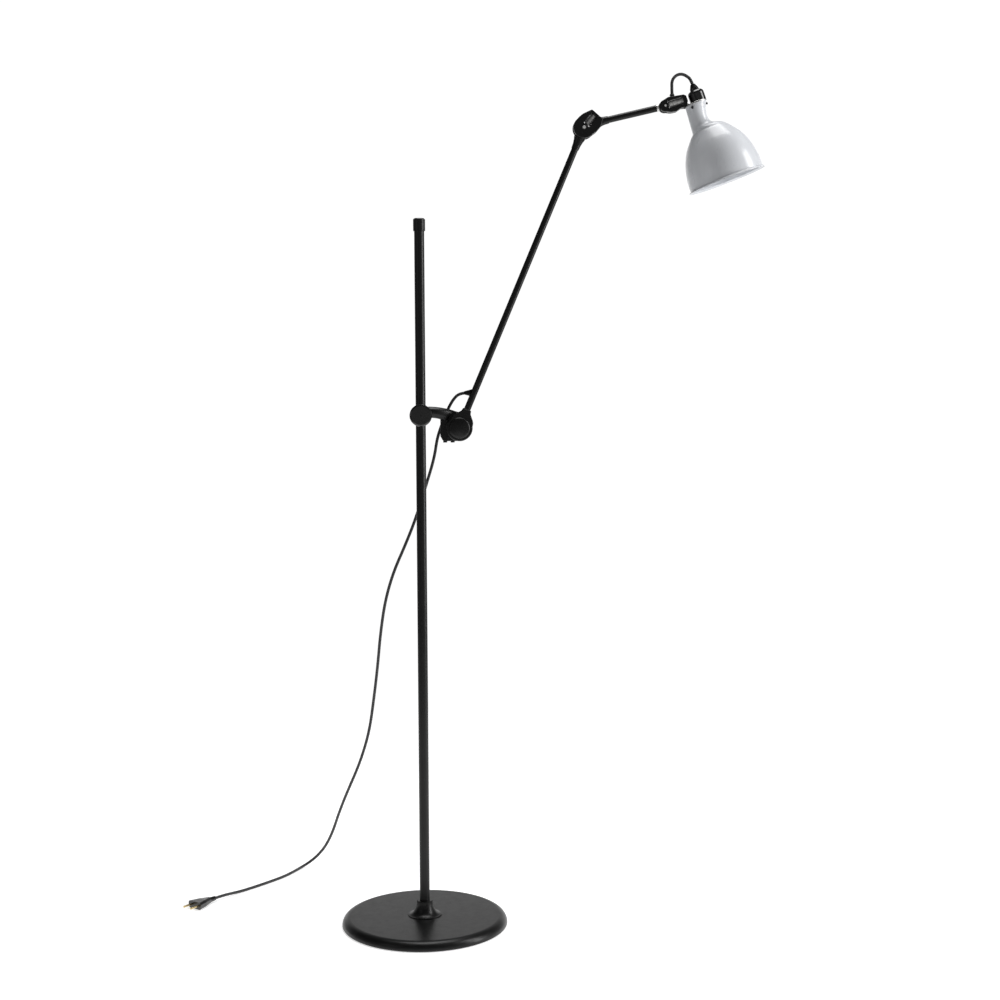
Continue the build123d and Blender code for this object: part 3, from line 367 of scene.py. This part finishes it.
def even_rings(path, spacing):
    """The same line, walked at even steps."""
    lengths = [0.0]
    for before, after in zip(path, path[1:]):
        lengths.append(lengths[-1] + (after - before).length)
    count = max(4, round(lengths[-1] / spacing))
    rings = []
    index = 0
    for step in range(count + 1):
        distance = lengths[-1] * step / count
        while index < len(path) - 2 and lengths[index + 1] < distance:
            index += 1
        share = (distance - lengths[index]) / (lengths[index + 1] - lengths[index])
        rings.append(path[index].lerp(path[index + 1], min(max(share, 0.0), 1.0)))
    return rings, lengths[-1]


def tube(name, path, radius, sides, material, spacing=0.0025):
    """A closed tube round a line, with its round and long directions laid out as texture coordinates."""
    rings, length = even_rings(path, spacing)
    mesh = bmesh.new()
    layout = mesh.loops.layers.uv.new("UVMap")
    heading = (rings[1] - rings[0]).normalized()
    side = heading.orthogonal().normalized()
    loops = []
    for index, centre in enumerate(rings):
        after = rings[min(index + 1, len(rings) - 1)]
        before = rings[max(index - 1, 0)]
        heading = (after - before).normalized()
        side = (side - heading * side.dot(heading)).normalized()
        other = heading.cross(side)
        loops.append([
            mesh.verts.new(
                centre + radius * (math.cos(2 * math.pi * k / sides) * side
                                   + math.sin(2 * math.pi * k / sides) * other))
            for k in range(sides)
        ])
    for index in range(len(loops) - 1):
        low = length * index / (len(loops) - 1)
        high = length * (index + 1) / (len(loops) - 1)
        for k in range(sides):
            corners = [
                (loops[index][k], k, low), (loops[index][(k + 1) % sides], k + 1, low),
                (loops[index + 1][(k + 1) % sides], k + 1, high), (loops[index + 1][k], k, high),
            ]
            face = mesh.faces.new([corner[0] for corner in corners])
            face.smooth = True
            for loop, (_, around, along) in zip(face.loops, corners):
                loop[layout].uv = (around / sides, along)
    mesh.faces.new(list(reversed(loops[0])))
    mesh.faces.new(loops[-1])
    data = bpy.data.meshes.new(name)
    mesh.to_mesh(data)
    mesh.free()
    piece = bpy.data.objects.new(name, data)
    bpy.context.scene.collection.objects.link(piece)
    paint(piece, material)
    return piece, length


def make_cord(node, bodies, blend_from, blend_to, **facts):
    path = cord_line(node, ROUTES[node])
    piece, length = tube(node + "_braided", path, CORD_DIAMETER / 2, CORD_SIDES, cord_jacket)
    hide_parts(node)
    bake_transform(piece)
    return piece


def make_cords():
    make_cord(
        "arm_cord", ("clamp", "long_arm"), BRACKET_END, OUTLET,
        far_end="object", stiffness="limp", lay="loose")
    make_cord(
        "bracket_cord", ("liner", "clamp"), POLE_END, BRACKET_END,
        far_end="object", stiffness="limp", lay="hanging")
    make_cord(
        "mains_cord", ("stand", "liner"), FLOOR_LANDING, POLE_END,
        far_end="plug", stiffness="limp", lay="hanging", with_pieces=PLUG_PIECES)
    make_cord(
        "head_cord", ("wrist", "head"), LOOP_FOOT, GRIP_ENTRY,
        far_end="object", stiffness="limp", lay="loose")


# ---------------------------------------------------------------- floor and light
FLOOR_RADIUS = 1.9
FLOOR_DROP = 0.0002
FLOOR_GLOW = 0.6


def make_floor():
    """A pale round floor, which glows a little so that it stays white away from the lights."""
    mesh = bmesh.new()
    bmesh.ops.create_circle(mesh, cap_ends=True, segments=96, radius=FLOOR_RADIUS)
    data = bpy.data.meshes.new("floor")
    mesh.to_mesh(data)
    mesh.free()
    floor = bpy.data.objects.new("floor", data)
    bpy.context.scene.collection.objects.link(floor)
    floor.location = (0, 0, -FLOOR_DROP)
    material, tree, shader = new_material("floor")
    where = add(tree, "ShaderNodeTexCoord")
    cloud = noise(tree, (where, "Object"), 1.2, 2.0)
    colour = ramp(tree, cloud, "Fac", [(0.3, 0.89), (0.7, 0.90)])
    wire(tree, colour, "Color", shader, "Base Color")
    shader.inputs["Roughness"].default_value = 0.9
    shader.inputs["Specular IOR Level"].default_value = 0.1
    shader.inputs["Emission Color"].default_value = (1, 1, 1, 1)
    shader.inputs["Emission Strength"].default_value = FLOOR_GLOW
    paint(floor, material)


# Each light's name, place, target, width, height and power in watts.
LIGHTS = (
    ("soft_box_right", (2.4, -0.6, 1.5), (0.1, 0, 1.0), 0.62, 2.6, 47),
    ("soft_box_top", (0.3, 0.4, 4.4), (0.1, 0.3, 0.4), 2.4, 2.4, 90),
    ("fill_left", (-2.4, -1.9, 1.7), (0.1, 0, 0.9), 1.4, 1.8, 3),
)


def make_light(name, place, target, width, height, power):
    data = bpy.data.lights.new(name, "AREA")
    data.shape = "RECTANGLE"
    data.size = width
    data.size_y = height
    data.energy = power
    light = bpy.data.objects.new(name, data)
    bpy.context.scene.collection.objects.link(light)
    light.location = place
    aim = Vector(target) - Vector(place)
    light.rotation_euler = aim.to_track_quat("-Z", "Y").to_euler()


def make_room():
    """A white wall low behind the lamp, grey walls elsewhere, a grey ceiling, and the lights."""
    world = bpy.data.worlds.new("room")
    bpy.context.scene.world = world
    world.use_nodes = True
    tree = world.node_tree
    background = tree.nodes["Background"]
    where = add(tree, "ShaderNodeTexCoord")
    split = add(tree, "ShaderNodeSeparateXYZ")
    wire(tree, where, "Generated", split, "Vector")
    depth = ramp(tree, split, "Y", [(0.0, 0.26), (0.6, 0.30), (0.86, 1.04)])
    height = ramp(tree, split, "Z", [(0.262, 1.0), (0.36, 0.3)])
    shifted = add(tree, "ShaderNodeMath", operation="MULTIPLY_ADD")
    shifted.inputs[1].default_value = 0.5
    shifted.inputs[2].default_value = 0.5
    wire(tree, split, "X", shifted, 0)
    side = ramp(tree, shifted, "Value", [(0.26, 0.6), (0.34, 1.0)])
    low = add(tree, "ShaderNodeMixRGB", blend_type="MULTIPLY", Fac=1.0)
    wire(tree, depth, "Color", low, "Color1")
    wire(tree, height, "Color", low, "Color2")
    both = add(tree, "ShaderNodeMixRGB", blend_type="MULTIPLY", Fac=1.0)
    wire(tree, low, "Color", both, "Color1")
    wire(tree, side, "Color", both, "Color2")
    wire(tree, both, "Color", background, "Color")
    background.inputs["Strength"].default_value = 1.0
    for light in LIGHTS:
        make_light(*light)


make_camera()
paint_cad_nodes()
make_cords()
make_floor()
make_room()
bpy.context.scene.view_settings.view_transform = "Standard"
